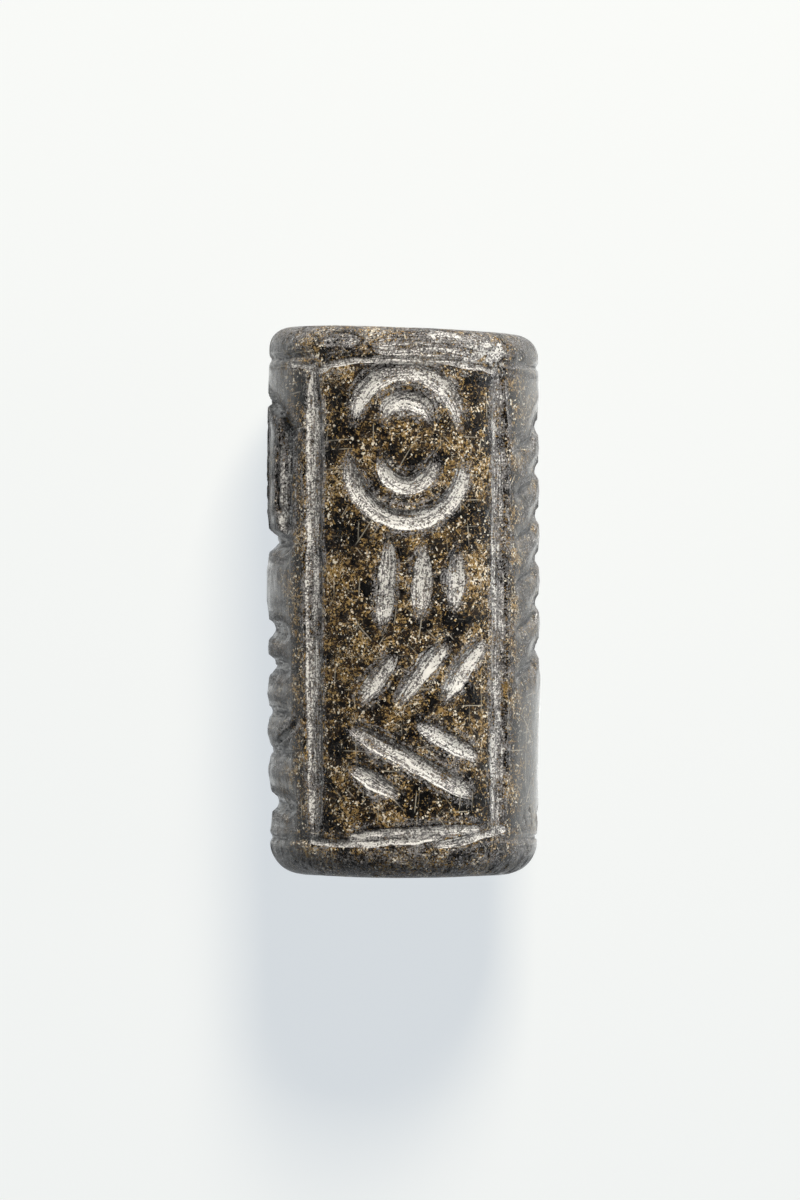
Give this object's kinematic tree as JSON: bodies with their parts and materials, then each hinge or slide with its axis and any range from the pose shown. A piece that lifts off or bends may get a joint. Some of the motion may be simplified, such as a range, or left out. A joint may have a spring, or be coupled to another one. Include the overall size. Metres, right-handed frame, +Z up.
{
  "type": "cylinder seal",
  "caption": "Small carved stone cylinder seal, bored along its axis, with a framed column of marks and a cut scene round its drum.",
  "frame": {"origin": "middle of the drum's length, under its axis, on the flat spot that it rests on", "axes": "+Z up through the framed column of marks, +Y along the bore towards the upper end of the carving, +X to the right of the column seen from above"},
  "size_m": [0.0138, 0.0274, 0.0136],
  "materials": {
    "stone": "dark mottled soft stone, hand polished and worn, with pale scuffed cuts"
  },
  "bodies": {
    "root": {"cylinder_seal": "stone"}
  },
  "joints": []
}
